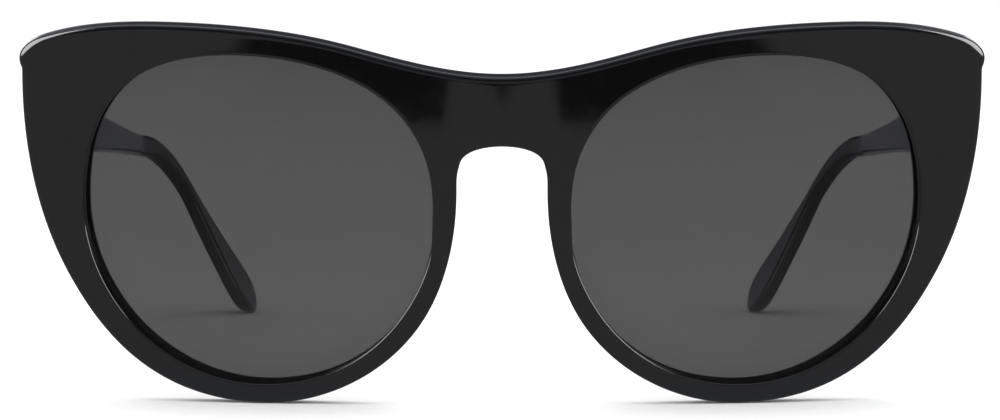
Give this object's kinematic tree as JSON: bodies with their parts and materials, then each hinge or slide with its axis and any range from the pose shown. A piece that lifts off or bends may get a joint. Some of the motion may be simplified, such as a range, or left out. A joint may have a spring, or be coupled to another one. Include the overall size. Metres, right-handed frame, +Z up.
{
  "type": "cat eye sunglasses",
  "caption": "Cat eye sunglasses with a winged black acetate front, grey tinted lenses, a saddle bridge and folding temples on barrel hinges.",
  "frame": {"origin": "on the surface that the glasses stand on, at the middle of their bounding box, between the open temples", "axes": "+Z up; +Y from the front back along the temples; +X towards the wearer's left"},
  "size_m": [0.1466, 0.149, 0.0581],
  "materials": {
    "black_acetate": "polished",
    "grey_lens": "polished, tinted",
    "nickel_silver": "satin",
    "steel_screw": "bright"
  },
  "bodies": {
    "front": {"front_frame": "black_acetate", "lens_left": "grey_lens", "nose_pad_left": "black_acetate", "front_hinge_left": "nickel_silver", "hinge_screw_left": "steel_screw", "front_leaf_screw_left_1": "steel_screw", "front_leaf_screw_left_2": "steel_screw", "lens_right": "grey_lens", "nose_pad_right": "black_acetate", "front_hinge_right": "nickel_silver", "hinge_screw_right": "steel_screw", "front_leaf_screw_right_1": "steel_screw", "front_leaf_screw_right_2": "steel_screw"},
    "left_temple": {"temple_left": "black_acetate", "core_wire_left": "nickel_silver", "temple_hinge_left": "nickel_silver", "temple_leaf_screw_left_1": "steel_screw", "temple_leaf_screw_left_2": "steel_screw"},
    "right_temple": {"temple_right": "black_acetate", "core_wire_right": "nickel_silver", "temple_hinge_right": "nickel_silver", "temple_leaf_screw_right_1": "steel_screw", "temple_leaf_screw_right_2": "steel_screw"}
  },
  "joints": [
    {"name": "left_temple_fold", "type": "hinge", "parent": "front", "child": "left_temple", "pos_m": [0.0658, -0.0575, 0.043], "axis": [0, 0, 1], "range_deg": [0, 82]},
    {"name": "right_temple_fold", "type": "hinge", "parent": "front", "child": "right_temple", "pos_m": [-0.0658, -0.0575, 0.043], "axis": [0, 0, -1], "range_deg": [0, 70]}
  ]
}
